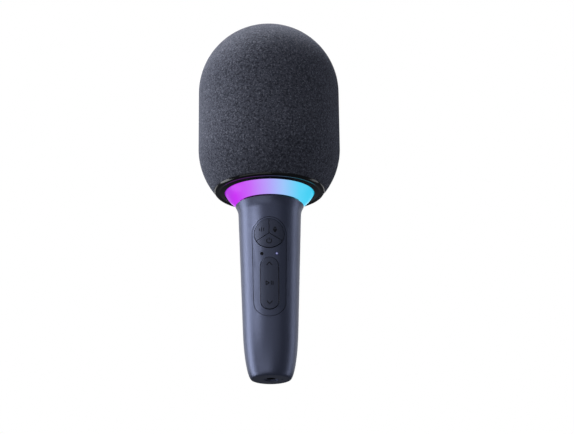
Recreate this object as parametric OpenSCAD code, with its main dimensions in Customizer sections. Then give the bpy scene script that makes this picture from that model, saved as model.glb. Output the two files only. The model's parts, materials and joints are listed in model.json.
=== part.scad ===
// Wireless karaoke microphone: a fabric-covered head with a speaker inside, a light ring
// under the head, and a tapered handle with keys, battery and electronics.
// Millimetres. The axis is Z, the bottom face is at Z = 0, and the keys face -Y.

/* [Overall] */
// Height of the whole microphone
total_h = 221; // [214:1:266]
// Outer diameter of the fabric head
head_d = 85; // [82:0.5:102]

/* [Head] */
// Height of the fabric's lower edge above the bottom face
sleeve_z = 115.4; // [115:0.1:118]
// Drop from the lower half sphere's centre to the fabric's edge
bowl_drop = 26.8; // [25:0.1:28]
// Thickness of the knitted fabric sleeve
sleeve_t = 1.0; // [0.6:0.1:1.2]
// Wall of the rigid grille under the fabric
grille_t = 1.8; // [1.4:0.1:2]
// Thickness of the foam liner inside the dome
foam_t = 5; // [3:0.5:6]
// Outer radius of the light ring
light_r = 26.4; // [25.5:0.1:26.8]
// Diameter of the speaker's cone
cone_d = 34; // [28:0.5:35]

/* [Handle] */
// Height of the handle's flared rim
rim_z = 105.5; // [104.5:0.1:106]
// Outer radius of the flared rim
rim_r = 20.3; // [19.8:0.1:20.6]
// Radius that the straight taper would have at the bottom
taper_r = 15.2; // [15:0.1:15.6]
// Growth of the handle's radius per millimetre of height
taper = 0.034; // [0.032:0.001:0.036]
// Wall of the handle shell
wall = 2.0; // [1.8:0.1:2.1]
// Height of the elliptical rounding at the lower end
round_h = 28; // [22:1:30]
// Width of that rounding
round_w = 4.2; // [3.4:0.1:4.4]

/* [Keys] */
// Height of the middle of the three-key circle
cluster_z = 83; // [82.5:0.1:83.5]
// Radius of the three-key circle
cluster_r = 8.6; // [7.1:0.1:8.7]
// Height of the middle of the long rocker key
rocker_z = 53; // [52.5:0.1:53.5]
// Length of the rocker key
rocker_l = 30.8; // [25.6:0.1:31]
// Width of the rocker key
rocker_w = 10.3; // [9.6:0.1:10.5]
// How far the keys stand proud of the panel
key_proud = 0.45; // [0.2:0.05:0.6]
// Gap round each key
key_gap = 0.35; // [0.2:0.05:0.35]

/* [Panel] */
// Radius of the panel's upper end
panel_r_top = 9.9; // [9.8:0.1:10.2]
// Radius of the panel's lower end
panel_r_low = 9.2; // [9:0.1:9.6]
// Height of the panel's lowest point
panel_low_z = 33.6; // [32.5:0.1:34]
// Gap round the panel insert
panel_gap = 0.3; // [0.1:0.05:0.3]
// Thickness of the panel insert
panel_t = 1.2; // [1:0.1:1.3]

/* [Electronics] */
// Diameter of the lithium cell
cell_d = 18.4; // [15.3:0.1:18.6]
// Length of the lithium cell
cell_l = 65; // [54:0.5:65.5]
// Bore of the headphone jack
jack_bore_d = 3.6; // [3.55:0.01:3.65]

/* [Hidden] */
$fn = 96;
fit = 0.1;            // gap between pieces that seat in each other
lay = 0.05;           // gap between faces that lie on each other
clear = 0.3;          // gap between pieces that pass each other
far = 150;             // longer than any cut needs to be
function sphere_r(r, dz) = sqrt(r * r - dz * dz);

// head
head_r = head_d / 2;
dome_z = total_h - head_r;              // centre of the upper half sphere
bowl_z = sleeve_z + bowl_drop;            // centre of the lower half sphere
skin_r = head_r - sleeve_t;             // inside of the fabric
grille_r = skin_r - lay;
cage_r = grille_r - grille_t;           // inside of the grille
edge_r = sphere_r(head_r, bowl_z - sleeve_z);
edge_in_r = sphere_r(skin_r, bowl_z - sleeve_z);
bezel_z = 113.8;                        // underside of the bezel
bezel_in_r = light_r + fit;
base_z = 116.6;                         // underside of the head's bulkhead
base_t = 2.6;
base_top = base_z + base_t;
lead_r = 0.6;
grille_screw_r = sphere_r(cage_r, bowl_z - base_top) - 2.3;  // circle of the grille's screws

// neck
neck_r = rim_r - 5.2;                   // tube that joins head and handle
neck_t = 2.2;
neck_low = 97;
neck_floor_t = 2;
neck_flange_r = neck_r + 6.4;
neck_flange_t = 2.4;
neck_screw_r = neck_r + 3.2;            // circle of the three neck screws
neck_disc_z = rim_z - 4.4;

// screws
head_screw = [1.2, 2.2, 1.4, 5];        // shank radius, head radius, head height, length
handle_screw = [0.95, 1.9, 1.2, 5];

// speaker box
box_low = base_top + 4.4;
box_r = sphere_r(cage_r, bowl_z - box_low) - 1.2;
box_y = 24;                             // half its depth
box_h = 47;
box_wall = 2;
box_top = box_low + box_h;
box_post_x = 26;
lid_t = 2.4;
driver_z = box_low + box_h / 2;
cone_r = cone_d / 2;
surround_w = 3;
basket_r = cone_r + surround_w + 2;
ear_r = 2.7;
ear_at = basket_r + 1.3;
driver_depth = 9;
radiator_depth = 4;

// capsule
capsule_r = 8;
capsule_h = 9;
bridge_z = max(dome_z + 10, box_top + 17.9);  // in the dome, clear of the speaker box
bridge_t = 2.4;
capsule_z = bridge_z + 7;
mount_r = capsule_r + 2.4;
ledge_z = bridge_z + bridge_t + lay;
ledge_t = 2.6;
ledge_screw_r = sphere_r(cage_r, ledge_z + ledge_t - dome_z) - 1.88;

// handle
flare_h = 5.5;
flare_w = rim_r - taper_r - taper * rim_z;
function handle_r(z) = taper_r + taper * z
    - (z < round_h ? round_w * (1 - sqrt(1 - pow((round_h - z) / round_h, 2))) : 0)
    + (z > rim_z - flare_h ? flare_w * pow((z - rim_z + flare_h) / flare_h, 2) : 0);
profile_z = concat(
    [for (i = [0 : 12]) round_h * (1 - cos(90 * i / 12))],
    [for (i = [0 : 5]) rim_z - flare_h + flare_h * i / 5]);
rim_in_r = rim_r - wall - 0.9;
lip_z = 7;                              // where the shell's inner taper starts
cap_r = 10.4;                           // end cap
cap_t = 1.8;
cap_h = 5;

// keys, from the inside outwards
board_y = -9.5;                         // front face of the main board
board_t = 1.0;
dome_h = 0.3;                           // snap dome
stem_end = board_y - dome_h - 0.05;     // where a stem meets its dome
pip_end = stem_end - 0.2;               // the rocker's outer pips start further off
guide_y = board_y - 2.0;                // front face of the key guide
guide_t = 0.8;
stem_r = 1.5;
pip_r = 1.3;
flange_w = 0.7;                         // how far a flange reaches past its opening
plate_y = -13.4;                        // front face of the rocker carrier's plate
pin_r = 0.75;                           // rocker's hinge pin
pin_run = 0.03;                         // its running clearance
pin_y = -15.0;
lug_y = -13.8;
panel_top_z = cluster_z;                // centre of the panel's upper end
panel_bot_z = panel_low_z + panel_r_low;
rocker_arc_z = rocker_l / 2 - rocker_w / 2;
rocker_switch_z = rocker_l / 2 - 4.2;   // from the rocker's middle to its outer switches
stem_at_r = cluster_r - 3.4;                  // from the circle's middle to each key's stem
mode_turn = 150;                        // directions of the three keys, seen from the front
effects_turn = 30;
power_turn = 270;
dot_x = 4.35;                           // status lights
dot_z = 70.9;
dot_r = 1.0;

// battery and boards
plate_t = 1.0;
plate_front = board_y + board_t + 2.2;  // front face of the chassis plate
cell_r = cell_d / 2;
cell_y = plate_front + plate_t + fit + cell_r;
cell_z = 21.5;
chassis_low = 19.4;
chassis_top = neck_low - lay;
board_low = 28;
board_top = 94;
board_w = 20;
board_screws = [[-4, 30.5], [4, 30.5], [-6, 91.3], [6, 91.3]];
chassis_screws = [[-9.5, 2], [9.5, 2]];
port_z = 16.4;                          // underside of the port board
port_screws = [[-8, -3], [8, -3]];
port_post_r = 2.3;
usb_w = 8.94;
usb_h = 3.26;
usb_l = 7.3;
usb_z = port_z - lay - usb_h / 2;
usb_mouth_y = handle_r(usb_z) - 0.6;

// ---- shared shapes ----

// A ring turned round Z, from a list of [radius, height] points.
module turned(points) rotate_extrude() polygon(points);

// Turns something drawn in XY so that X stays, Y becomes Z and its height runs towards -Y.
module facing_front(y = 0) translate([0, y, 0]) rotate([90, 0, 0]) children();

// Drills from the axis out through the front, at (x, z).
module front_hole(x, z, r) facing_front() translate([x, z, 0]) cylinder(r = r, h = far);

// Solid bounded by the handle's outer surface, moved outwards by grow.
module handle_solid(grow, z0, z1) turned(concat(
    [[0, z0], [handle_r(z0) + grow, z0]],
    [for (z = profile_z) if (z > z0 + 0.1 && z < z1 - 0.1) [handle_r(z) + grow, z]],
    [[handle_r(z1) + grow, z1], [0, z1]]));

// Outermost skin of the handle between two depths, used for the panel and the keys.
module handle_skin(outer, inner, z0, z1) difference() {
    handle_solid(outer, z0, z1);
    handle_solid(inner, z0 - 1, z1 + 0.5);
}

// A wire of round section through a list of points.
module wire(points, r = lead_r) {
    for (i = [0 : len(points) - 2]) {
        run = points[i + 1] - points[i];
        translate(points[i])
            rotate([0, acos(run[2] / norm(run)), atan2(run[1], run[0])])
                cylinder(r = r, h = norm(run), $fn = 32);
    }
    for (i = [1 : len(points) - 2]) translate(points[i]) sphere(r = r * 1.08, $fn = 32);
}

// A screw with its head's underside at Z = 0 and its shank below.
module screw(size) {
    translate([0, 0, -size[3]]) cylinder(r = size[0], h = size[3] + 0.01, $fn = 48);
    cylinder(r = size[1], h = size[2], $fn = 48);
}

// Block behind the control panel's outline, a hair narrower than the arcs so that they cross.
module panel_block(grow) {
    top = panel_r_top + grow;
    low = panel_r_low + grow;
    inset = 0.02;
    front_hole(0, panel_top_z, top);
    front_hole(0, panel_bot_z, low);
    facing_front() linear_extrude(far) polygon([
        [inset - top, panel_top_z], [top - inset, panel_top_z],
        [low - inset, panel_bot_z], [inset - low, panel_bot_z]
    ]);
}

module rocker_outline(grow) {
    translate([-rocker_w / 2 - grow, rocker_z - rocker_arc_z])
        square([rocker_w + 2 * grow, 2 * rocker_arc_z]);
    for (side = [-1, 1]) translate([0, rocker_z + side * rocker_arc_z]) circle(r = rocker_w / 2 + grow);
}

// A third of the key circle, whose middle points in direction turn.
module sector_outline(r, turn) intersection() {
    translate([0, cluster_z]) circle(r = r);
    translate([0, cluster_z]) rotate(turn) translate([key_gap / 2 / sin(60), 0])
        polygon([[0, 0], [20, -20 * tan(60)], [20, 20 * tan(60)]]);
}

// Middle of a key's stem, seen from the front.
function stem_at(turn) = [stem_at_r * cos(turn), cluster_z + stem_at_r * sin(turn)];

// ---- head ----

// Capsule shape: a bowl, a short straight and a dome.
module capsule_solid(r) {
    translate([0, 0, bowl_z]) sphere(r = r);
    translate([0, 0, bowl_z]) cylinder(r = r, h = dome_z - bowl_z);
    translate([0, 0, dome_z]) sphere(r = r);
}

// Wall between two capsule shapes, cut off flat at height low.
module capsule_wall(r_out, r_in, low) difference() {
    capsule_solid(r_out);
    capsule_solid(r_in);
    translate([0, 0, low - far]) cylinder(r = far, h = far);
}

// Centres of the head's screws, with the height of each head's underside and its side.
module at_neck_screws() for (i = [0 : 2]) rotate(120 * i - 90) translate([neck_screw_r, 0, 0]) children();
module at_box_screws() for (side = [-1, 1]) translate([side * box_post_x, 0, 0]) children();
module at_grille_screws() for (turn = [60, 120, 240, 300]) rotate(turn) translate([grille_screw_r, 0, 0]) children();
module at_bridge_screws() for (i = [0 : 2]) rotate(120 * i + 30) translate([ledge_screw_r, 0, 0]) children();

module fabric_sleeve() color([0.16, 0.17, 0.2])
    capsule_wall(head_r, skin_r, sleeve_z);

// Rigid cage with windows for the speaker, holes in the dome for the voice, and screw bosses.
module grille_frame() color([0.1, 0.1, 0.11]) {
    windows = 12;
    window_w = 15;
    window_h = 21;
    difference() {
        union() {
            capsule_wall(grille_r, cage_r, base_top + lay);
            intersection() {
                union() {
                    translate([0, 0, ledge_z]) cylinder(r = far, h = ledge_t);
                    at_grille_screws() translate([0, 0, base_top + lay]) cylinder(r = 2.5, h = 4);
                }
                capsule_solid(cage_r + 0.5);
            }
        }
        translate([0, 0, ledge_z - 1]) cylinder(r = ledge_screw_r - 2.6, h = ledge_t + 2);
        for (i = [0 : windows - 1], low = [base_top + 10, base_top + 37]) rotate(360 * i / windows)
            translate([head_r - 12, -window_w / 2, low]) cube([24, window_w, window_h]);
        translate([0, 0, dome_z]) cylinder(r = 7, h = far);
        for (i = [0 : 5]) rotate(60 * i) translate([20, 0, dome_z]) cylinder(r = 6.5, h = far);
        at_grille_screws() cylinder(r = head_screw[0] + lay, h = base_top + head_screw[3]);
        at_bridge_screws() translate([0, 0, ledge_z - 1])
            cylinder(r = head_screw[0] + lay, h = ledge_t + 1.5);
    }
}

module foam_liner() color([0.22, 0.22, 0.24]) difference() {
    translate([0, 0, dome_z]) sphere(r = cage_r - lay);
    translate([0, 0, dome_z]) sphere(r = cage_r - lay - foam_t);
    translate([0, 0, ledge_z + ledge_t + lay - far]) cylinder(r = far, h = far);
}

module mic_capsule() color([0.7, 0.7, 0.68]) {
    translate([0, 0, capsule_z]) cylinder(r = capsule_r, h = capsule_h);
    translate([0, 0, capsule_z + capsule_h - 0.01]) cylinder(r = capsule_r - 1.2, h = 0.8);
}

// Rubber cup that keeps handling noise out of the capsule.
module capsule_mount() color([0.08, 0.08, 0.08]) difference() {
    union() {
        translate([0, 0, capsule_z - 1.5]) cylinder(r = mount_r, h = capsule_h - 1);
        translate([0, 0, capsule_z - 0.2]) cylinder(r = mount_r + 1.4, h = 2);
    }
    translate([0, 0, capsule_z - lay]) cylinder(r = capsule_r + lay, h = capsule_h);
    translate([0, 0, capsule_z - 3]) cylinder(r = 2, h = 4);
}

module capsule_bridge() color([0.12, 0.12, 0.13]) difference() {
    union() {
        translate([0, 0, bridge_z])
            cylinder(r = sphere_r(cage_r, bridge_z + bridge_t - dome_z) - 2 * fit, h = bridge_t);
        translate([0, 0, bridge_z]) cylinder(r = mount_r + 2.6, h = capsule_z - 0.25 - bridge_z);
    }
    translate([0, 0, capsule_z - 1.6]) cylinder(r = mount_r + fit, h = far);
    translate([0, 0, bridge_z - 1]) cylinder(r = 6.5, h = far);
    for (i = [0 : 5]) rotate(60 * i) translate([23, 0, bridge_z - 1]) cylinder(r = 6, h = 4);
    at_bridge_screws() translate([0, 0, bridge_z - 1]) cylinder(r = head_screw[0] + lay, h = 4);
}

// Block that the speaker box is made from.
module box_block(r, y, z0, h) intersection() {
    translate([0, 0, z0]) cylinder(r = r, h = h);
    translate([-far, -y, z0 - 1]) cube([2 * far, 2 * y, h + 2]);
}

// Puts a driver's pieces on the box: side 1 is the front, side -1 the back. Z is outwards from its face.
module on_box(side) translate([0, -side * box_y, driver_z]) rotate([side * 90, 0, 0]) children();
module at_ears() for (i = [0 : 3]) rotate(45 + 90 * i) translate([ear_at, 0, 0]) children();

module speaker_box() color([0.15, 0.15, 0.16]) difference() {
    box_block(box_r, box_y, box_low, box_h);
    box_block(box_r - box_wall, box_y - box_wall, box_low + box_wall, box_h);
    for (side = [-1, 1]) on_box(side) {
        translate([0, 0, -5]) cylinder(r = cone_r + surround_w + 0.6, h = 10);
        at_ears() translate([0, 0, -5]) cylinder(r = handle_screw[0] + lay, h = 10, $fn = 48);
    }
    at_box_screws() translate([0, 0, box_low - 1]) cylinder(r = head_screw[0] + lay, h = 4, $fn = 48);
    translate([-2.1, -8, box_low - 1]) cylinder(r = 2.5, h = 4);
}

module speaker_box_lid() color([0.15, 0.15, 0.16]) difference() {
    union() {
        box_block(box_r, box_y, box_top + lay, lid_t);
        box_block(box_r - box_wall - fit, box_y - box_wall - fit, box_top - 2, 2.2);
    }
    box_block(box_r - box_wall - 2, box_y - box_wall - 2, box_top - 3, 3);
}

// Flanged basket with four ears and four windows.
module driver_frame(side, depth) on_box(side) difference() {
    union() {
        translate([0, 0, lay]) cylinder(r = basket_r, h = 1.6);
        at_ears() translate([0, 0, lay]) cylinder(r = ear_r, h = 1.6, $fn = 48);
        translate([0, 0, -depth]) cylinder(r = cone_r + surround_w + 0.4, h = depth + 0.2);
    }
    translate([0, 0, 0.3]) cylinder(r = cone_r + surround_w, h = 4);
    translate([0, 0, 1.2 - depth]) cylinder(r = cone_r + surround_w - 1, h = depth);
    translate([0, 0, -depth - 1]) cylinder(r = 9, h = 4);
    for (i = [0 : 3]) rotate(45 + 90 * i) translate([11, -5, -depth - 1]) cube([5, 10, 4]);
    at_ears() translate([0, 0, -1]) cylinder(r = handle_screw[0] + lay, h = 4, $fn = 48);
}

module speaker_basket() color([0.5, 0.5, 0.52]) driver_frame(1, driver_depth);
module radiator_frame() color([0.5, 0.5, 0.52]) driver_frame(-1, radiator_depth);

module speaker_magnet() color([0.3, 0.3, 0.32]) on_box(1) {
    translate([0, 0, -driver_depth - 7 - lay]) cylinder(r = 14, h = 7);
    translate([0, 0, -driver_depth - 7]) cylinder(r = 6, h = 9.6);
}

// Half-round roll of rubber between a diaphragm and its frame.
module surround(side) on_box(side) rotate_extrude() {
    mid = cone_r + surround_w / 2;
    roll = surround_w / 2 - 0.25;
    difference() {
        translate([mid, 0.4]) circle(r = roll, $fn = 48);
        translate([mid, 0.4]) circle(r = roll - 0.5, $fn = 48);
        translate([mid - 5, -4.6]) square([10, 5]);
    }
    translate([cone_r + lay, 0.35]) square([0.7, 0.5]);
    translate([mid + roll - 0.5, 0.35]) square([0.7, 0.5]);
}

module speaker_surround() color([0.08, 0.08, 0.08]) surround(1);
module radiator_surround() color([0.08, 0.08, 0.08]) surround(-1);

// Cone, dust cap and voice-coil former in one piece.
module speaker_cone() color([0.2, 0.2, 0.22]) on_box(1) turned([
    [0, -1.9], [4, -2.3], [6.5, -3.2], [6.5, -7], [7, -7], [7, -3.2], [cone_r, 0.3],
    [cone_r, 0.9], [7.2, -2.4], [4, -1.6], [0, -1.2]
]);

module radiator_plate() color([0.2, 0.2, 0.22]) on_box(-1) {
    translate([0, 0, 0.1]) cylinder(r = cone_r, h = 0.8);
    translate([0, 0, 0.8]) cylinder(r = cone_r / 2, h = 1);
}

module driver_screws() color([0.6, 0.6, 0.62])
    for (side = [-1, 1]) on_box(side) at_ears() translate([0, 0, 1.6 + 2 * lay]) screw(handle_screw);

// Bulkhead that carries the grille, the speaker box, the bezel and the light ring.
module head_base() color([0.12, 0.12, 0.13]) {
    rim_low = sphere_r(skin_r, bowl_z - base_z) - 0.15;
    rim_top = sphere_r(skin_r, bowl_z - base_top) - 0.15;
    difference() {
        union() {
            turned([[neck_r + fit, base_z], [rim_low, base_z], [rim_top, base_top], [neck_r + fit, base_top]]);
            at_box_screws() translate([0, 0, base_z]) cylinder(r = 2.8, h = box_low - base_z - lay);
        }
        at_neck_screws() translate([0, 0, base_z - 1]) cylinder(r = head_screw[0] + lay, h = 5, $fn = 48);
        at_box_screws() translate([0, 0, base_z + 1.5]) cylinder(r = head_screw[0] + lay, h = 8, $fn = 48);
        at_grille_screws() {
            translate([0, 0, base_z - 1]) cylinder(r = head_screw[0] + lay, h = 5, $fn = 48);
            translate([0, 0, base_z - 1]) cylinder(r = head_screw[1] + fit, h = 1 + head_screw[2] + lay, $fn = 48);
        }
    }
}

// Neck, speaker box, grille and bridge screws, all the same size.
module head_screws() color([0.6, 0.6, 0.62]) {
    at_neck_screws() translate([0, 0, base_top + neck_flange_t + 2 * lay]) screw(head_screw);
    at_box_screws() translate([0, 0, box_low + box_wall + lay]) screw(head_screw);
    at_grille_screws() translate([0, 0, base_z + head_screw[2]]) mirror([0, 0, 1]) screw(head_screw);
    at_bridge_screws() translate([0, 0, bridge_z - lay]) mirror([0, 0, 1]) screw(head_screw);
}

// Glossy ring between the fabric's edge and the light, rolled over at its outer lip.
module bezel_ring() color([0.03, 0.03, 0.035]) {
    lip_w = 1.8;
    lip_low = bezel_z - 0.1;
    turned(concat(
        [[bezel_in_r, bezel_z - 0.1], [bezel_in_r + 0.5, bezel_z - 0.4], [bezel_in_r + 3.2, bezel_z + 0.3],
            [bezel_in_r + 3.5, bezel_z + 0.1]],
        [for (a = [0 : 15 : 90])
            [edge_r - 0.1 - lip_w * (1 - sin(a)), lip_low + (sleeve_z - 0.1 - lip_low) * (1 - cos(a))]],
        [[edge_in_r - fit, sleeve_z - 0.1], [edge_in_r - fit, base_z - lay], [bezel_in_r, base_z - lay]]
    ));
}

// Milky funnel that glows, slightly domed: its outer edge meets the bezel and its inner edge
// stops above the rim, with a dark groove between.
module light_diffuser() color([0.8, 0.5, 1]) {
    low_r = rim_r - 1.2;
    low_z = rim_z + 1.4;
    edge_z = bezel_z - 0.2;
    dome = 2;
    turned(concat(
        [[low_r, low_z]],
        [for (i = [0 : 8]) let (u = i / 8, swell = dome * u * (1 - u))
            [low_r + 0.9 + (light_r - low_r - 0.9) * u + swell, low_z + (edge_z - low_z) * u - swell]],
        [[light_r, base_z - 0.1], [light_r - 1.4, base_z - 0.1], [light_r - 1.5, bezel_z + 0.3],
            [light_r - 4.4, bezel_z - 2.8], [low_r - 0.4, low_z + 1.7]]
    ));
}

module led_board() color([0.1, 0.35, 0.2]) translate([0, 0, base_z - lay - 1]) difference() {
    cylinder(r = light_r - 1.4 - clear, h = 1);
    translate([0, 0, -1]) cylinder(r = neck_r + clear, h = 4);
}

module ring_leds() color([0.9, 0.9, 0.85]) {
    leds = 12;
    for (i = [0 : leds - 1]) rotate(360 * i / leds)
        translate([(neck_r + light_r) / 2 - 2.4, -1.75, base_z - 2 * lay - 2.1]) cube([3.5, 3.5, 1.1]);
}

// Tube, flange and floor that join the head to the handle.
module neck_collar() color([0.14, 0.14, 0.15]) difference() {
    union() {
        translate([0, 0, neck_low]) cylinder(r = neck_r, h = base_top - neck_low + 1);
        translate([0, 0, base_top + lay]) cylinder(r = neck_flange_r, h = neck_flange_t);
        translate([0, 0, neck_disc_z]) cylinder(r = rim_in_r - fit, h = 3.4);
    }
    translate([0, 0, neck_low + neck_floor_t]) cylinder(r = neck_r - neck_t, h = far);
    translate([0, 0, neck_low - 1]) cylinder(r = 5, h = 4);
    for (at = chassis_screws) translate([at[0], at[1], neck_low - 1])
        cylinder(r = handle_screw[0] + lay, h = 4, $fn = 48);
    at_neck_screws() translate([0, 0, base_top - 1]) cylinder(r = head_screw[0] + lay, h = 6, $fn = 48);
    translate([0, 0, base_z - 3.4]) rotate([-90, 0, 0]) cylinder(r = 1.6, h = far, $fn = 48);
}

// ---- handle ----

// Outline of a receptacle or its slot, drawn in XY: flat with round ends.
module usb_outline(grow) {
    square([usb_w - usb_h, usb_h + 2 * grow], center = true);
    for (side = [-1, 1]) translate([side * (usb_w - usb_h) / 2, 0]) circle(r = usb_h / 2 + grow);
}

module handle_shell() color([0.3, 0.32, 0.4]) difference() {
    handle_solid(0, 0, rim_z);
    translate([0, 0, -1]) cylinder(r = cap_r + fit, h = lip_z + 1.5);
    turned(concat(
        [[0, lip_z], [handle_r(lip_z) - wall, lip_z]],
        [for (z = profile_z) if (z > lip_z + 0.5 && z < rim_z - flare_h + 0.1) [handle_r(z) - wall, z]],
        [[rim_in_r, rim_z - flare_h + 0.6], [rim_in_r, rim_z + 1], [0, rim_z + 1]]));
    // pocket for the panel
    intersection() {
        handle_skin(1, -panel_t - lay, panel_low_z - 4, rim_z - 1);
        panel_block(panel_gap);
    }
    // openings in the pocket's floor
    front_hole(0, cluster_z, cluster_r + key_gap);
    facing_front() linear_extrude(far) rocker_outline(key_gap);
    for (x = [-dot_x, dot_x]) front_hole(x, dot_z, dot_r + lay);
    // charging port at the back
    translate([0, 0, usb_z]) rotate([-90, 0, 0]) linear_extrude(far) usb_outline(0.15);
}

module control_panel() color([0.3, 0.32, 0.4]) difference() {
    intersection() {
        handle_skin(-0.03, -panel_t, panel_low_z - 4, rim_z - 1);
        panel_block(0);
    }
    front_hole(0, cluster_z, cluster_r + key_gap);
    facing_front() linear_extrude(far) rocker_outline(key_gap);
    for (x = [-dot_x, dot_x]) front_hole(x, dot_z, dot_r + lay);
}

// One of the three keys: a piece of the handle's skin, a wider flange inside and a stem.
module sector_key(turn) {
    at = stem_at(turn);
    low = cluster_z - cluster_r - 3;
    top = cluster_z + cluster_r + 3;
    intersection() {
        handle_skin(key_proud, -wall - 0.5, low, top);
        facing_front() linear_extrude(far) sector_outline(cluster_r, turn);
    }
    intersection() {
        handle_skin(-wall - fit, -wall - 0.9, low, top);
        facing_front() linear_extrude(far) sector_outline(cluster_r + flange_w, turn);
    }
    facing_front(stem_end) translate([at[0], at[1], 0]) cylinder(r = stem_r, h = 5.6, $fn = 48);
}

module mode_button() color([0.26, 0.28, 0.35]) sector_key(mode_turn);
module effects_button() color([0.26, 0.28, 0.35]) sector_key(effects_turn);
module power_button() color([0.26, 0.28, 0.35]) sector_key(power_turn);

// Sliding foot under the rocker: its stem presses the play switch and its pin carries the key.
module rocker_carrier() color([0.2, 0.2, 0.22]) {
    ear = rocker_w / 2 + key_gap + flange_w;
    facing_front(stem_end) translate([0, rocker_z, 0]) cylinder(r = stem_r, h = stem_end - plate_y - 0.3, $fn = 48);
    translate([-ear, plate_y, rocker_z - 4]) cube([2 * ear, 0.8, 8]);
    translate([-1.1, pin_y, rocker_z - 1.2]) cube([2.2, plate_y - pin_y + 0.1, 2.4]);
    for (size = [[1.35, 2.2], [pin_r, 7]]) translate([0, pin_y, rocker_z]) rotate([0, 90, 0])
        cylinder(r = size[0], h = size[1], center = true, $fn = 48);
}

// Long key: up, play and down. It rocks on the carrier's pin.
module rocker_key() color([0.26, 0.28, 0.35]) difference() {
    under_y = -14.7;
    union() {
        intersection() {
            handle_solid(key_proud, panel_low_z - 4, cluster_z);
            facing_front(under_y) linear_extrude(far) rocker_outline(0);
        }
        for (side = [-1, 1]) {
            translate([side * 2.5 - 0.9, lug_y - 2, rocker_z - 1.5]) cube([1.8, 2, 3]);
            facing_front(pip_end) translate([0, rocker_z + side * rocker_switch_z, 0])
                cylinder(r = pip_r, h = 5.2, $fn = 48);
        }
    }
    translate([0, pin_y, rocker_z]) rotate([0, 90, 0])
        cylinder(r = pin_r + pin_run, h = 7.6, center = true, $fn = 48);
    translate([-1.4, pin_y - 1.7, rocker_z - 2]) cube([2.8, 6, 4]);
}

// Perforated plate that keeps the stems straight, standing on the main board.
module key_guide() color([0.85, 0.85, 0.8]) difference() {
    union() {
        translate([-7.6, guide_y, board_low + 0.8]) cube([15.2, guide_t, board_top - board_low - 0.8]);
        for (at = board_screws) facing_front(board_y - lay) translate([at[0], at[1], 0])
            cylinder(r = 1.9, h = board_y - lay - guide_y - 0.1, $fn = 48);
    }
    for (turn = [mode_turn, effects_turn, power_turn])
        front_hole(stem_at(turn)[0], stem_at(turn)[1], stem_r + clear / 2);
    front_hole(0, rocker_z, stem_r + clear / 2);
    for (side = [-1, 1]) front_hole(0, rocker_z + side * rocker_switch_z, pip_r + 0.5);
    for (x = [-dot_x, dot_x]) front_hole(x, dot_z, dot_r + lay);
    for (at = board_screws) front_hole(at[0], at[1], handle_screw[0] + lay);
}

module snap_dome(at) facing_front(board_y - 0.01) translate([at[0], at[1], 0])
    cylinder(r1 = 2.4, r2 = 1.2, h = dome_h, $fn = 48);

module mode_dome() color([0.8, 0.75, 0.6]) snap_dome(stem_at(mode_turn));
module effects_dome() color([0.8, 0.75, 0.6]) snap_dome(stem_at(effects_turn));
module power_dome() color([0.8, 0.75, 0.6]) snap_dome(stem_at(power_turn));
module volume_up_dome() color([0.8, 0.75, 0.6]) snap_dome([0, rocker_z + rocker_switch_z]);
module play_dome() color([0.8, 0.75, 0.6]) snap_dome([0, rocker_z]);
module volume_down_dome() color([0.8, 0.75, 0.6]) snap_dome([0, rocker_z - rocker_switch_z]);

module main_board() color([0.08, 0.3, 0.18]) difference() {
    translate([-board_w / 2, board_y, board_low]) cube([board_w, board_t, board_top - board_low]);
    for (at = board_screws) facing_front(board_y + 2) translate([at[0], at[1], 0])
        cylinder(r = handle_screw[0] + lay, h = 4, $fn = 48);
}

// Amplifier, power and sound chips on the back of the main board.
module board_chips() color([0.06, 0.06, 0.07]) {
    chips = [[-6, 40, 5, 5], [1.5, 38, 6, 6], [-7, 50, 7, 4], [2, 52, 5, 7], [-6, 62, 4, 4], [0, 64, 6, 4]];
    for (c = chips) translate([c[0], board_y + board_t + 0.01, c[1]]) cube([c[2], 1.2, c[3]]);
}

module bluetooth_module() color([0.7, 0.7, 0.7])
    translate([-6, board_y + board_t + 0.01, 73]) cube([12, 1.6, 12]);

module status_leds() color([0.9, 0.9, 0.7])
    for (x = [-dot_x, dot_x]) translate([x - 0.8, board_y - 0.71, dot_z - 0.8]) cube([1.6, 0.7, 1.6]);

// Clear rod that carries a status light to the panel's surface.
module status_window(x) intersection() {
    handle_solid(-0.08, dot_z - 5, dot_z + 5);
    facing_front(board_y - 0.8) translate([x, dot_z, 0]) cylinder(r = dot_r, h = far, $fn = 48);
}

module status_window_left() color([0.1, 0.1, 0.12]) status_window(-dot_x);
module status_window_right() color([0.8, 0.85, 1]) status_window(dot_x);

// Main board, neck and port board screws, all the same size.
module handle_screws() color([0.6, 0.6, 0.62]) {
    for (at = board_screws) facing_front(guide_y - lay) translate([at[0], at[1], 0]) screw(handle_screw);
    for (at = chassis_screws) translate([at[0], at[1], neck_low + neck_floor_t + lay]) screw(handle_screw);
    for (at = port_screws) translate([at[0], at[1], port_z - lay]) mirror([0, 0, 1]) screw(handle_screw);
}

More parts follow.
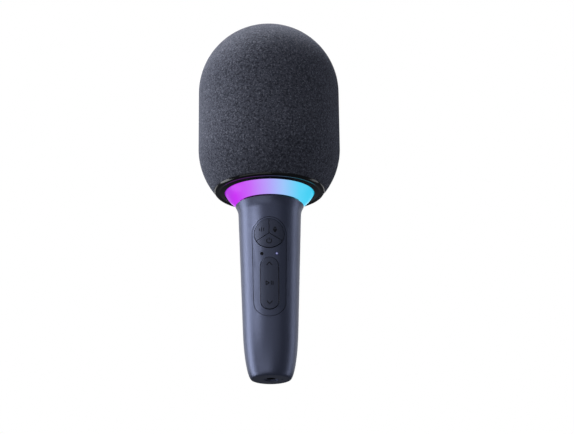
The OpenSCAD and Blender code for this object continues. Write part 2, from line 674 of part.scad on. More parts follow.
// Spine between the main board and the cell, with end plates, bosses and posts.
module chassis() color([0.2, 0.2, 0.22]) difference() {
    union() {
        intersection() {
            union() {
                translate([-far, plate_front, chassis_low]) cube([2 * far, plate_t, chassis_top - chassis_low]);
                for (z = [chassis_low, cell_z + cell_l + 0.25, chassis_top - 2])
                    translate([-far, plate_front, z]) cube([2 * far, far, z == chassis_low ? 1.7 : 2]);
            }
            handle_solid(-wall - clear, chassis_low - 1, rim_z - flare_h);
        }
        for (at = board_screws) facing_front(plate_front + 0.1) translate([at[0], at[1], 0])
            cylinder(r = 2.1, h = plate_front - board_y - board_t + 0.1 - lay, $fn = 48);
        for (at = port_screws) translate([at[0], at[1], port_z + 1 + lay])
            cylinder(r = port_post_r, h = chassis_low - port_z - 1 + 0.5, $fn = 48);
    }
    for (at = board_screws) facing_front(plate_front + 3) translate([at[0], at[1], 0])
        cylinder(r = handle_screw[0] + lay, h = 8, $fn = 48);
    for (at = chassis_screws) translate([at[0], at[1], chassis_top - 4])
        cylinder(r = handle_screw[0] + lay, h = 6, $fn = 48);
    for (at = port_screws) translate([at[0], at[1], port_z])
        cylinder(r = handle_screw[0] + lay, h = 5.6, $fn = 48);
    // ways through for the wires
    translate([0, 0, chassis_top - 3]) cylinder(r = 5, h = 4);
    translate([0, cell_y, cell_z + cell_l]) cylinder(r = 1.6, h = 3);
    translate([0, cell_y, chassis_low - 1]) cylinder(r = 1.6, h = 3);
    translate([-4, plate_front - 1, cell_z + cell_l + 2.4])
        cube([8, 3, chassis_top - cell_z - cell_l - 4.6]);
}

module battery_cell() color([0.15, 0.35, 0.6]) translate([0, cell_y, cell_z]) {
    cylinder(r = cell_r, h = cell_l - 0.8);
    translate([0, 0, cell_l - 0.9]) cylinder(r = 3, h = 0.9);
}

module battery_tabs() color([0.8, 0.8, 0.78])
    for (z = [cell_z - 0.23, cell_z + cell_l + 0.03]) translate([-3, cell_y - 3, z]) cube([6, 6, 0.18]);

// Wires from the cell's two ends to the main board.
module battery_leads() color([0.7, 0.1, 0.1]) {
    top = cell_z + cell_l + 0.25;
    back_y = board_y + board_t + 0.9;
    wire([[0, cell_y, top], [0, cell_y, top + 4], [0, back_y, top + 4], [0, back_y, top + 2]]);
    wire([[0, cell_y, cell_z - 0.3], [0, cell_y, chassis_low - 0.9], [0, back_y, chassis_low - 0.9],
        [0, back_y, board_low + 6]]);
}

module end_cap() color([0.3, 0.32, 0.4]) difference() {
    cylinder(r = cap_r, h = cap_h);
    translate([0, 0, cap_t]) cylinder(r = cap_r - 1.6, h = cap_h);
    translate([0, 0, -1]) cylinder(r = 2.6, h = 5);
    translate([0, 0, -1]) cylinder(r = 4.4, h = 1.5);
    translate([6.6, 0, -1]) cylinder(r = 0.5, h = 5, $fn = 32);
}

module audio_jack() color([0.05, 0.05, 0.05]) difference() {
    union() {
        translate([0, 0, 0.9]) cylinder(r = 2.5, h = 2);
        translate([-3, -2.9, cap_t + lay]) cube([6, 5.8, port_z - 2 * lay - cap_t]);
    }
    translate([0, 0, -1]) cylinder(r = jack_bore_d / 2, h = port_z);
}

// Charging receptacle at the back, opening to +Y.
module usb_port() color([0.7, 0.7, 0.72]) translate([0, usb_mouth_y - usb_l, usb_z]) rotate([-90, 0, 0])
    difference() {
        linear_extrude(usb_l) usb_outline(0);
        translate([0, 0, 0.6]) linear_extrude(usb_l) usb_outline(-0.3);
    }

module usb_tongue() color([0.1, 0.1, 0.1])
    translate([-3.3, usb_mouth_y - usb_l + 0.62, usb_z - 0.35]) cube([6.6, usb_l - 1.4, 0.7]);

// Round board that carries the jack and the charging receptacle.
module port_board() color([0.08, 0.3, 0.18]) difference() {
    translate([0, 0, port_z]) cylinder(r = handle_r(port_z) - wall - clear, h = 1);
    for (at = port_screws) translate([at[0], at[1], port_z - 1])
        cylinder(r = handle_screw[0] + lay, h = 3, $fn = 48);
}

// Flat cable between the two boards.
module port_ribbon() color([0.85, 0.85, 0.8])
    translate([-1.7, board_y + board_t + 0.02, port_z + 1.02]) cube([3.4, 0.25, board_low - port_z + 4]);

// Two wires from the speaker, through the box's floor and the neck, to the main board.
module speaker_leads() color([0.6, 0.6, 0.1]) for (x = [-1.2, -3]) {
    wire([[x, -8, driver_z - 15], [x, -8, base_top], [x, -2, neck_low + 8], [x, -2, board_top - 0.6],
        [x, board_y + board_t + 0.8, board_top - 0.6]]);
}

// Screened lead from the capsule, down the back of the speaker box and through the neck.
module mic_lead() color([0.1, 0.1, 0.1]) wire([
    [0, 0, capsule_z - 0.1], [0, 0, bridge_z - 6], [0, box_y + 6, bridge_z - 12],
    [0, box_y + 6, box_low - 1], [1, 9, box_low - 1], [1, 9, base_top - 4], [1.5, -2, neck_low + 6],
    [1.5, -2, board_top - 0.6], [1.5, board_y + board_t + 0.8, board_top - 0.6]
], 0.55);

// Two wires from the light ring's board, through the neck's side.
module ring_leads() color([0.6, 0.1, 0.1]) wire([
    [0, neck_r + 1.3, base_z - 1.8], [0, neck_r + 1.3, base_z - 3.4], [0, 9, base_z - 3.4],
    [-0.2, 1.5, neck_low + 5], [-0.2, 1.5, board_top + 0.8], [3, -2, board_top - 0.6],
    [3, board_y + board_t + 0.8, board_top - 0.6]
], 0.5);

fabric_sleeve();
grille_frame();
foam_liner();
mic_capsule();
capsule_mount();
capsule_bridge();
speaker_box();
speaker_box_lid();
speaker_basket();
speaker_magnet();
speaker_surround();
speaker_cone();
radiator_frame();
radiator_surround();
radiator_plate();
driver_screws();
head_base();
head_screws();
bezel_ring();
light_diffuser();
led_board();
ring_leds();
neck_collar();
handle_shell();
control_panel();
mode_button();
effects_button();
power_button();
rocker_carrier();
rocker_key();
key_guide();
mode_dome();
effects_dome();
power_dome();
volume_up_dome();
play_dome();
volume_down_dome();
main_board();
board_chips();
bluetooth_module();
status_leds();
status_window_left();
status_window_right();
handle_screws();
chassis();
battery_cell();
battery_tabs();
battery_leads();
end_cap();
audio_jack();
usb_port();
usb_tongue();
port_board();
port_ribbon();
speaker_leads();
mic_lead();
ring_leads();
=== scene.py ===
# %% [markdown]
# # A wireless karaoke microphone with a speaker in its head
#
# The real thing is a handheld stick. A tapered metal handle carries the keys, a glowing ring
# sits where the handle meets the head, and a knitted sleeve hides a loudspeaker and the
# microphone capsule. The hard pieces arrive as finished solids, one object a piece, in metres.
# This notebook gives them their finishes, knits the sleeve, fills in the foam, prints the key
# symbols, and sets the studio.

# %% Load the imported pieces
import json
import math

import bmesh
import bpy
from mathutils import Matrix, Vector
from mathutils.bvhtree import BVHTree


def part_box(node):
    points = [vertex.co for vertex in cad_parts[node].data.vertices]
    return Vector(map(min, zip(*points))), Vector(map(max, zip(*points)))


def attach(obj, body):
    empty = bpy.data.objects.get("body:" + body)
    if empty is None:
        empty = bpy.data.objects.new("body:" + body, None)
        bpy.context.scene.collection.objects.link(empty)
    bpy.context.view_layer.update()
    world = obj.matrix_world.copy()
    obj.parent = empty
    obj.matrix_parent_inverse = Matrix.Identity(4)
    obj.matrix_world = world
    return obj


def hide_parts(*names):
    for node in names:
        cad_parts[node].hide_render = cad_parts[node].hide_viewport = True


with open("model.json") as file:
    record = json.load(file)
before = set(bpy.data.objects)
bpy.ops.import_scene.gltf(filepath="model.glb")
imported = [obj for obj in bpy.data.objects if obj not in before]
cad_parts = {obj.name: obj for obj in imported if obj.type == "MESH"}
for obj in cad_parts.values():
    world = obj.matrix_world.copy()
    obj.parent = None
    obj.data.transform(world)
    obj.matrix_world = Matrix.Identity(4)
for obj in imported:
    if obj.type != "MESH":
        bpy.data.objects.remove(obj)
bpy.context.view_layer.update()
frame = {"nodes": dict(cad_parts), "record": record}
MM = 0.001

# %% [markdown]
# ## The camera
#
# A long lens about a metre away looks up at the microphone from a little below its end. That
# is why the underside of the head and the whole light ring can be seen. A long lens keeps the
# handle's taper honest. The matrix is built in the order place, turn, tilt, roll.

# %% Camera
LENS_MM, SENSOR_MM = 111.74, 36.0
CAMERA_PLACE = (0.0256, -1.0, -0.2466)
CAMERA_TURN, CAMERA_TILT, CAMERA_ROLL = (math.radians(a) for a in (0.88, 109.06, -0.64))

camera_data = bpy.data.cameras.new("camera")
camera_data.sensor_width, camera_data.lens = SENSOR_MM, LENS_MM
camera_data.clip_start, camera_data.clip_end = 0.01, 20.0
camera = bpy.data.objects.new("camera", camera_data)
bpy.context.scene.collection.objects.link(camera)
camera.matrix_world = (
    Matrix.Translation(CAMERA_PLACE)
    @ Matrix.Rotation(CAMERA_TURN, 4, "Z")
    @ Matrix.Rotation(CAMERA_TILT, 4, "X")
    @ Matrix.Rotation(CAMERA_ROLL, 4, "Z")
)
bpy.context.scene.camera = camera
bpy.context.scene.view_settings.view_transform = "Standard"
print("camera at", tuple(round(v, 3) for v in camera.matrix_world.translation))

# %% [markdown]
# ## One way to write nodes
#
# Materials and Geometry Nodes are both sheets of nodes. Two small classes let this notebook
# write them as sums. A `Term` is a socket that takes part in arithmetic, so `1 - mask` makes a
# Math node. A `NodeSheet` has one method, `add`, for every other node: its type, its settings,
# then the values or links of its sockets.

# %% Terms and node sheets
class Term:
    """A node's output that can stand in a sum."""

    def __init__(self, sheet, socket):
        self.sheet, self.socket = sheet, socket

    def math(self, operation, *others):
        sockets = dict(enumerate((self, *others)))
        return self.sheet.add("ShaderNodeMath", {"operation": operation}, sockets)

    def __add__(self, other):
        return self.math("ADD", other)

    def __sub__(self, other):
        return self.math("SUBTRACT", other)

    def __mul__(self, other):
        return self.math("MULTIPLY", other)

    def __truediv__(self, other):
        return self.math("DIVIDE", other)

    def __rsub__(self, other):
        return self.sheet.add("ShaderNodeMath", {"operation": "SUBTRACT"}, {0: other, 1: self})

    __radd__ = __add__
    __rmul__ = __mul__


class NodeSheet:
    """A tree of nodes that is being written."""

    def __init__(self, tree):
        self.tree = tree

    def add(self, kind, settings=None, sockets=None, out=0):
        node = self.tree.nodes.new(kind)
        for key, value in (settings or {}).items():
            if key == "stops":
                set_stops(node.color_ramp, value)
            else:
                setattr(node, key, value)
        for key, value in (sockets or {}).items():
            target = find_socket(node.inputs, key)
            if isinstance(value, Term):
                self.tree.links.new(value.socket, target)
            else:
                target.default_value = value
        return Term(self, find_socket(node.outputs, out)) if node.outputs else None


def find_socket(sockets, key):
    """A socket by its number, its identifier or its name."""
    if isinstance(key, int):
        return sockets[key]
    return next((s for s in sockets if s.identifier == key), None) or sockets[key]


def set_stops(ramp, stops):
    """Places a ramp's colours, given as (position, colour)."""
    while len(ramp.elements) < len(stops):
        ramp.elements.new(1.0)
    for element, (position, colour) in zip(ramp.elements, stops):
        element.position, element.color = position, colour


print("node sheets ready")

# %% [markdown]
# ## Recipes for finishes
#
# Every finish here ends in a Principled shader. What varies over a piece is only its colour,
# roughness, metal, coat, glow or bump, and a number that is the same everywhere is typed
# straight into the shader. Colours are written as they look on a screen, from 0 to 255, and
# `tint` turns them into the linear light that the renderer counts in.

# %% Recipes
def tint(red, green, blue):
    """A screen colour as linear light, with full opacity."""
    def linear(value):
        value = value / 255
        return value / 12.92 if value <= 0.04045 else ((value + 0.055) / 1.055) ** 2.4
    return (linear(red), linear(green), linear(blue), 1.0)


class Recipe(NodeSheet):
    """A material that is being written."""

    def __init__(self, name):
        self.material = bpy.data.materials.new(name)
        self.material.use_nodes = True
        super().__init__(self.material.node_tree)
        self.tree.nodes.clear()

    def place(self):
        return self.add("ShaderNodeTexCoord", out="Object")

    def part(self, vector, axis):
        """One of a vector's three numbers."""
        return self.add("ShaderNodeSeparateXYZ", {}, {0: vector}, out=axis)

    def noise(self, place, size, detail=2.0, roughness=0.5):
        """Cloudy noise whose blots are about size metres across, from 0 to 1."""
        sockets = {"Vector": place, "Scale": 1 / size, "Detail": detail, "Roughness": roughness}
        return self.add("ShaderNodeTexNoise", {}, sockets)

    def mix(self, share, first, second):
        sockets = {"Factor_Float": share, "A_Color": first, "B_Color": second}
        return self.add("ShaderNodeMix", {"data_type": "RGBA"}, sockets, out="Result_Color")

    def step(self, value, low, high):
        """0 below low, 1 above high, smooth between."""
        settings = {"interpolation_type": "SMOOTHSTEP"}
        return self.add("ShaderNodeMapRange", settings,
                        {"Value": value, "From Min": low, "From Max": high})

    def bump(self, height, depth, strength=1.0):
        sockets = {"Strength": strength, "Distance": depth, "Height": height}
        return self.add("ShaderNodeBump", {}, sockets)

    def surface(self, **sockets):
        """Ends the recipe: Base_Color=... sets the Principled socket Base Color."""
        named = {key.replace("_", " "): value for key, value in sockets.items()}
        shader = self.add("ShaderNodeBsdfPrincipled", {}, named)
        self.add("ShaderNodeOutputMaterial", {}, {"Surface": shader})
        return self.material


print("recipes ready")

# %% [markdown]
# ## Moulded plastic, rubber and card
#
# Injection-moulded plastic copies the fine grain of its steel mould, and it is a little shinier
# where the grain is shallow. Rubber and coated paper take the same recipe with other numbers, so
# one function makes them all from three sizes of noise: a fine one for the bump, and two broader
# ones for faint clouds in the shine and in the colour.

# %% Moulded finishes
COLOUR_CLOUD, SHINE_CLOUD = 40, 12     # how many times larger the clouds are than the grain
finishes = {}


def moulded(name, colour, rough=0.55, grain=0.25 * MM, depth=0.012 * MM, clouds=0.12, **more):
    """A plain moulded or coated finish with grain and faint clouds."""
    recipe = Recipe(name)
    place = recipe.place()
    fine = recipe.noise(place, grain, detail=3.0)
    broad = recipe.noise(place, COLOUR_CLOUD * grain)
    lighter = tuple(min(1.0, c * (1 + 2 * clouds) + 0.002) for c in colour[:3]) + (1.0,)
    return recipe.surface(
        Base_Color=recipe.mix(broad, colour, lighter),
        Roughness=recipe.noise(place, SHINE_CLOUD * grain) * 0.16 + (rough - 0.08),
        Normal=recipe.bump(fine, depth),
        **more)


for name, colour, more in (
        ("black_plastic", (26, 26, 28), {}),
        ("black_rubber", (20, 20, 21), {"rough": 0.72}),
        ("paper_cone", (38, 38, 41), {"rough": 0.85, "grain": 0.6 * MM, "depth": 0.03 * MM}),
        ("white_nylon", (214, 213, 206), {"rough": 0.42, "clouds": 0.03}),
        ("chip_black", (22, 22, 24), {"rough": 0.5, "grain": 0.12 * MM}),
        ("jack_black", (7, 7, 8), {"rough": 0.8, "grain": 0.2 * MM, "depth": 0.006 * MM,
                                   "Specular_IOR_Level": 0.15}),
        ("ribbon", (206, 205, 198), {"rough": 0.4, "grain": 0.4 * MM, "clouds": 0.03}),
        ("red_wire", (150, 24, 22), {"rough": 0.45, "grain": 0.3 * MM}),
        ("yellow_wire", (196, 160, 40), {"rough": 0.45, "grain": 0.3 * MM}),
        ("black_wire", (24, 24, 25), {"rough": 0.5, "grain": 0.3 * MM}),
        ("cell_sleeve", (38, 84, 150), {"rough": 0.28, "grain": 0.8 * MM, "clouds": 0.05})):
    finishes[name] = moulded(name, tint(*colour), **more)
print("moulded finishes:", len(finishes))

# %% [markdown]
# ## Plated and pressed metal
#
# Screws, pressed baskets, nickel cans and spring domes are bare or plated metal. Rolling and
# polishing leave fine lines, so the noise is stretched along one direction, and it moves the
# roughness and a very shallow bump.

# %% Metal finishes
ROLLED_LINE, LINE_DEPTH = 0.08 * MM, 0.002 * MM
STREAK = 12.0                          # how many times longer than wide a line is
TARNISH = 4 * MM


def plated(name, colour, rough):
    """Bare or plated metal with fine lines along X."""
    recipe = Recipe(name)
    place = recipe.place()
    stretched = recipe.add("ShaderNodeMapping", {}, {"Vector": place, "Scale": (1 / STREAK, 1, 1)})
    lines = recipe.noise(stretched, ROLLED_LINE)
    tarnish = recipe.noise(place, TARNISH, detail=3.0)
    duller = tuple(c * 0.82 for c in colour[:3]) + (1.0,)
    return recipe.surface(
        Base_Color=recipe.mix(tarnish, duller, colour),
        Metallic=1.0,
        Roughness=lines * 0.2 + (rough - 0.1),
        Normal=recipe.bump(lines, LINE_DEPTH))


for name, colour, rough in (
        ("nickel", (205, 200, 190), 0.24), ("pressed_steel", (150, 151, 155), 0.4),
        ("magnet", (126, 128, 133), 0.35), ("radiator_steel", (140, 141, 146), 0.45),
        ("screw_steel", (186, 188, 192), 0.3), ("spring_steel", (214, 206, 186), 0.2),
        ("shield_can", (196, 197, 198), 0.36)):
    finishes[name] = plated(name, tint(*colour), rough)
print("finishes so far:", len(finishes))

# %% [markdown]
# ## Satin slate-blue metal
#
# The handle, its key panel and its end cap are aluminium that was blasted, anodised or sprayed a
# slate blue, and sealed. The colour is that of the metal's own reflection, so Metallic is high
# and the light does the rest: a broad soft highlight runs down each side. The blasting is a fine
# bump, the flakes a faint speckle in colour, and handling leaves slow clouds in the shine.

# %% Satin metal
FLAKE, BLAST, HANDLING = 0.12 * MM, 0.16 * MM, 14 * MM


def satin_metal(name, dark, light, rough):
    recipe = Recipe(name)
    place = recipe.place()
    flakes = recipe.step(recipe.noise(place, FLAKE, detail=1.0), 0.42, 0.7)
    blasted = recipe.noise(place, BLAST)
    handling = recipe.noise(place, HANDLING, detail=3.0)
    return recipe.surface(
        Base_Color=recipe.mix(flakes, dark, light),
        Metallic=0.86,
        Roughness=handling * 0.08 + blasted * 0.05 + (rough - 0.065),
        Normal=recipe.bump(blasted, 0.003 * MM),
        Coat_Weight=0.12,
        Coat_Roughness=0.3)


for name, dark, light, rough in (
        ("handle_metallic", (88, 94, 118), (114, 121, 147), 0.4),
        ("panel_metallic", (84, 90, 113), (108, 115, 140), 0.42),
        ("key_metallic", (74, 79, 98), (95, 101, 122), 0.45),
        ("cap_metallic", (86, 92, 115), (110, 117, 142), 0.4)):
    finishes[name] = satin_metal(name, tint(*dark), tint(*light), rough)
print("finishes so far:", len(finishes))

# %% [markdown]
# ## Circuit board
#
# A board is green laminate under a glossy solder mask. Copper tracks lie under the mask as
# straight runs, a shade lighter and a little raised. A Brick texture draws them as the joints
# between its bricks, because its rows shift like tracks that go round components.

# %% Circuit board
def laminate(name):
    recipe = Recipe(name)
    place = recipe.place()
    turned = recipe.add("ShaderNodeMapping", {}, {"Vector": place, "Rotation": (math.pi / 2, 0, 0)})
    shifts = {"offset": 0.37, "squash": 0.7, "squash_frequency": 3}
    tracks = recipe.add("ShaderNodeTexBrick", shifts, {
        "Vector": turned, "Scale": 1 / (6 * MM), "Mortar Size": 0.035, "Mortar Smooth": 0.4,
        "Brick Width": 0.8, "Row Height": 0.22}, out="Fac")
    weave = recipe.noise(place, 0.5 * MM)
    board = recipe.mix(weave, tint(18, 74, 44), tint(24, 88, 52))
    return recipe.surface(
        Base_Color=recipe.mix(tracks, board, tint(52, 128, 72)),
        Roughness=weave * 0.1 + 0.24,
        Normal=recipe.bump(tracks, 0.03 * MM),
        Coat_Weight=0.4,
        Coat_Roughness=0.15)


finishes["circuit_board"] = laminate("circuit_board")
print("finishes so far:", len(finishes))

# %% [markdown]
# ## Lamps and lenses
#
# Lamp bodies and the two small windows above the rocker are moulded resin, with a coat and slow
# swirls in the colour. The right window is lit from behind. Its glow is strongest
# at its centre, which is found from the solid's own box.

# %% Lamps and lenses
CORE_START, CORE_END = 0.2 * MM, 0.75 * MM


def clear_resin(name, colour, lit_node=None):
    """A small moulded lens or lamp body. A lit lens glows most at its centre."""
    recipe = Recipe(name)
    place = recipe.place()
    swirl = recipe.noise(place, 1.2 * MM)
    deeper = tuple(c * 0.7 for c in colour[:3]) + (1.0,)
    sockets = {"Base_Color": recipe.mix(swirl, deeper, colour), "Roughness": swirl * 0.08 + 0.1,
               "Coat_Weight": 0.5, "Coat_Roughness": 0.06}
    if lit_node:
        lo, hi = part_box(lit_node)
        centre = tuple((lo + hi) / 2)
        offset = recipe.add("ShaderNodeVectorMath", {"operation": "SUBTRACT"},
                            {0: place, 1: centre})
        sideways, upwards = recipe.part(offset, "X"), recipe.part(offset, "Z")
        reach = (sideways * sideways + upwards * upwards).math("SQRT")
        core = 1 - recipe.step(reach, CORE_START, CORE_END)
        sockets.update(Emission_Color=recipe.mix(core, tint(30, 34, 74), tint(176, 180, 236)),
                       Emission_Strength=0.75)
    return recipe.surface(**sockets)


finishes.update({
    "led_body": clear_resin("led_body", tint(236, 232, 206)),
    "dark_window": clear_resin("dark_window", tint(16, 17, 22)),
    "lit_window": clear_resin("lit_window", tint(30, 33, 52), lit_node="status_window_right"),
})
print("finishes so far:", len(finishes))

# %% [markdown]
# ## Piano-black bezel
#
# The ring that grips the sleeve's edge is polished black plastic. It is almost a mirror, so its
# look comes from the studio and from the coloured ring beside it. A trace of orange peel and of
# fine wiping marks keeps it from looking like glass.

# %% Bezel finish
def piano_black(name):
    recipe = Recipe(name)
    place = recipe.place()
    peel = recipe.noise(place, 1.6 * MM)
    wiped = recipe.noise(place, 0.5 * MM, detail=4.0)
    return recipe.surface(
        Base_Color=recipe.mix(wiped, tint(9, 9, 11), tint(15, 15, 18)),
        Roughness=wiped * 0.06 + 0.09,
        Normal=recipe.bump(peel, 0.004 * MM))


finishes["gloss_black"] = piano_black("gloss_black")
print("finishes so far:", len(finishes))

# %% [markdown]
# ## The light ring
#
# Twelve lamps shine through a milky funnel. Each side has its own colour, magenta to cyan, and
# they melt into lavender where they meet. The milky plastic hides the lamps, so the glow is one
# smooth slope of colour across the width of the ring. It is a little uneven. A narrow band at the
# outer edge glows very faintly paler: partly light that leaks out against the bezel, partly a
# painted highlight on the ring's rounded rim.

# %% Light ring finish
ring_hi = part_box("light_diffuser")[1]
RING_R = ring_hi.x
# The painted rim highlight fades in between these two heights.
RIM_HIGHLIGHT_START, RIM_HIGHLIGHT_END = ring_hi.z - 3.3 * MM, ring_hi.z - 2.2 * MM


def glowing_ring(name):
    recipe = Recipe(name)
    place = recipe.place()
    across, up = recipe.part(place, "X"), recipe.part(place, "Z")
    share = across * (0.5 / RING_R) + 0.5
    colours = recipe.add("ShaderNodeValToRGB", {"stops": [
        (0.0, tint(176, 40, 224)), (0.13, tint(204, 44, 246)), (0.3, tint(202, 104, 250)),
        (0.48, tint(186, 158, 252)), (0.66, tint(160, 200, 253)), (0.84, tint(88, 216, 250)),
        (1.0, tint(40, 206, 240))]},
        {"Fac": share})
    # The band at the outer edge is made paler: partly leaking light, partly a painted highlight on
    # the rounded rim.
    leak_and_rim_highlight = recipe.step(up, RIM_HIGHLIGHT_START, RIM_HIGHLIGHT_END)
    uneven = recipe.noise(place, 9 * MM)
    glow_with_rim_highlight = recipe.mix(leak_and_rim_highlight * 0.06, colours, tint(232, 222, 255))
    glow = recipe.mix(uneven * 0.08, glow_with_rim_highlight, tint(120, 90, 190))
    return recipe.surface(
        Base_Color=recipe.mix(uneven, tint(24, 20, 34), tint(30, 26, 42)),
        Roughness=uneven * 0.1 + 0.3,
        Specular_IOR_Level=0.25,
        Emission_Color=glow,
        Emission_Strength=1.0)


finishes["light_ring"] = glowing_ring("light_ring")
print("ring spans", round(2 * RING_R / MM, 1), "mm")

# %% [markdown]
# ## Put the finishes on the hard pieces
#
# Each solid's material slot names its finish. The solids' own meshes are left as they are, and
# only the material in each slot changes. The sleeve and the foam aren't in the list, because new
# pieces stand for them below.

# %% Hard pieces
SOFT_SLOTS = ("fabric", "foam")
slot_of = {part["node"]: part["material_slot"] for part in frame["record"]["subparts"]}
for node, slot_name in slot_of.items():
    if slot_name in SOFT_SLOTS:
        continue
    for material_slot in frame["nodes"][node].material_slots:
        material_slot.material = finishes[slot_name]
print("hard pieces finished:", sum(s not in SOFT_SLOTS for s in slot_of.values()))

# %% [markdown]
# ## Geometry Nodes as a workshop
#
# A Geometry Nodes tree is a recipe for a shape. This helper makes a tree with named inputs, runs
# it once, and keeps the result as a plain mesh. The tree always ends by making instances real and
# setting the material, so nothing is lost when the piece is used elsewhere.

# %% Workshop
INPUT_KINDS = {float: "NodeSocketFloat", int: "NodeSocketInt",
               bpy.types.Material: "NodeSocketMaterial"}


class Workshop(NodeSheet):
    """A Geometry Nodes tree that is being written, with named inputs and their values."""

    def __init__(self, name, **inputs):
        super().__init__(bpy.data.node_groups.new(name, "GeometryNodeTree"))
        self.name, self.values = name, {}
        face = self.tree.interface
        face.new_socket("Geometry", in_out="OUTPUT", socket_type="NodeSocketGeometry")
        start = face.new_socket("Start", in_out="INPUT", socket_type="NodeSocketGeometry")
        entry = self.tree.nodes.new("NodeGroupInput")
        self.inputs = {}
        for label, value in inputs.items():
            kind = next(k for t, k in INPUT_KINDS.items() if isinstance(value, t))
            socket = face.new_socket(label.replace("_", " "), in_out="INPUT", socket_type=kind)
            self.values[socket.identifier] = value
            self.inputs[label] = socket.identifier
        self.start = Term(self, find_socket(entry.outputs, start.identifier))
        for label, identifier in self.inputs.items():
            setattr(self, label, Term(self, find_socket(entry.outputs, identifier)))

    def make(self, shape, start=None):
        """Ends the tree, runs it on the start mesh and returns the piece as a plain mesh."""
        real = self.add("GeometryNodeRealizeInstances", {}, {0: shape})
        coated = self.add("GeometryNodeSetMaterial", {},
                          {"Geometry": real, "Material": self.finish})
        self.add("NodeGroupOutput", {}, {0: coated})
        bench = bpy.data.objects.new("bench", start or bpy.data.meshes.new("bench"))
        bpy.context.scene.collection.objects.link(bench)
        modifier = bench.modifiers.new("workshop", "NODES")
        modifier.node_group = self.tree
        for identifier, value in self.values.items():
            modifier[identifier] = value
        seen = bench.evaluated_get(bpy.context.evaluated_depsgraph_get())
        mesh = bpy.data.meshes.new_from_object(seen)
        bpy.data.objects.remove(bench)
        piece = bpy.data.objects.new(self.name, mesh)
        bpy.context.scene.collection.objects.link(piece)
        mesh.name = self.name
        print(self.name, "has", len(mesh.polygons), "faces")
        return piece


print("workshop ready")

# %% [markdown]
# ## The knitted sleeve: its shape
#
# The sleeve is one piece of stretch knit, pulled over a cage in the shape of a capsule: a dome, a
# short straight and a bowl that tucks in under the bezel's edge. Its shape follows a rule, so
# Geometry Nodes can make it from a flat grid. One side of the grid goes once round the head, and
# the other runs from the crown down along the cloth. The distance `s` along the cloth is split
# into what lies on the dome, on the straight, on the bowl and in the small roll at the hem. The
# grid also keeps its flat place as a UV map in metres, so the stitches follow the cloth.

# %% Sleeve shape
sleeve_lo, sleeve_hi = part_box("fabric_sleeve")
HEAD_R = (sleeve_hi.y - sleeve_lo.y) / 2
DOME_Z = sleeve_hi.z - HEAD_R
BOWL_DROP = 26.8 * MM          # from the bowl's centre down to the cut edge
BOWL_Z = sleeve_lo.z + BOWL_DROP
KNIT_T = 0.85 * MM
HEM_R = 0.7 * MM
HEM_TURN = 1.3
AROUND, ALONG = 232, 168
SEAM_GAP = 0.005 * MM          # closer points than this are merged, at the seam and the crown


def sleeve_tree():
    tree = Workshop("knit_sleeve", head_radius=HEAD_R, dome_height=DOME_Z,
                    straight=DOME_Z - BOWL_Z, bowl_angle=math.asin(BOWL_DROP / HEAD_R),
                    hem_radius=HEM_R, hem_turn=HEM_TURN, around=AROUND, along=ALONG,
                    finish=finishes["fabric"])
    grid = tree.add("GeometryNodeMeshGrid", {}, {
        "Size X": 1.0, "Size Y": 1.0, "Vertices X": tree.around, "Vertices Y": tree.along},
        out="Mesh")
    flat = tree.add("GeometryNodeInputPosition")
    turn = (tree.add("ShaderNodeSeparateXYZ", {}, {0: flat}, out="X") + 0.5) * math.tau
    share = tree.add("ShaderNodeSeparateXYZ", {}, {0: flat}, out="Y") + 0.5
    radius, quarter = tree.head_radius, tree.head_radius * (math.pi / 2)
    bowl, hem = tree.head_radius * tree.bowl_angle, tree.hem_radius * tree.hem_turn
    s = share * (quarter + tree.straight + bowl + hem)
    on_dome = s.math("MINIMUM", quarter)
    past_dome = (s - quarter).math("MAXIMUM", 0.0)
    on_straight = past_dome.math("MINIMUM", tree.straight)
    past_straight = (past_dome - tree.straight).math("MAXIMUM", 0.0)
    bowl_turn = past_straight.math("MINIMUM", bowl) / radius
    hem_turn = (past_straight - bowl).math("MAXIMUM", 0.0) / tree.hem_radius
    # In the hem the cloth turns on a small circle just inside the bowl's edge.
    lean = bowl_turn + hem_turn
    main, fold = radius - tree.hem_radius, tree.hem_radius
    spread = main * bowl_turn.math("COSINE") + fold * lean.math("COSINE")
    sink = main * bowl_turn.math("SINE") + fold * lean.math("SINE")
    on_crown = (on_dome / radius).math("SINE")
    rise = radius * (on_dome / radius).math("COSINE")
    out = on_crown * spread
    place = tree.add("ShaderNodeCombineXYZ", {}, {
        "X": out * turn.math("SINE"), "Y": out * turn.math("COSINE"),
        "Z": tree.dome_height + rise - on_straight - sink})
    cloth = tree.add("ShaderNodeCombineXYZ", {}, {"X": turn * radius, "Y": s})
    mapped = tree.add("GeometryNodeStoreNamedAttribute",
                      {"data_type": "FLOAT2", "domain": "CORNER"},
                      {"Geometry": grid, "Name": "cloth", "Value": cloth})
    shaped = tree.add("GeometryNodeSetPosition", {}, {"Geometry": mapped, "Position": place})
    closed = tree.add("GeometryNodeMergeByDistance", {},
                      {"Geometry": shaped, "Distance": SEAM_GAP})
    smooth = tree.add("GeometryNodeSetShadeSmooth", {}, {"Geometry": closed})
    return tree, smooth


print("head radius", round(HEAD_R / MM, 2), "mm, straight", round((DOME_Z - BOWL_Z) / MM, 2), "mm")

# %% [markdown]
# ## The knitted sleeve: its cloth
#
# The yarn is a heather: charcoal, navy and grey fibres spun together. Up close a plain knit is
# rows of V-shaped stitches. Each wale, a column of stitches, has two slanted legs, so a slanted
# wave in each half wale gives the V, and a round hump across the leg gives the yarn its body. On
# the crown the columns would crowd together, so there the same stitches lie on a flat grid and
# fade into the ones below. Flecks of lighter and darker fibre follow the yarn, not the stitches.

# %% Sleeve cloth
WALE = 1.15 * MM
COURSE = 0.92 * MM
CROWN_START, CROWN_END = DOME_Z + 0.80 * HEAD_R, DOME_Z + 0.88 * HEAD_R


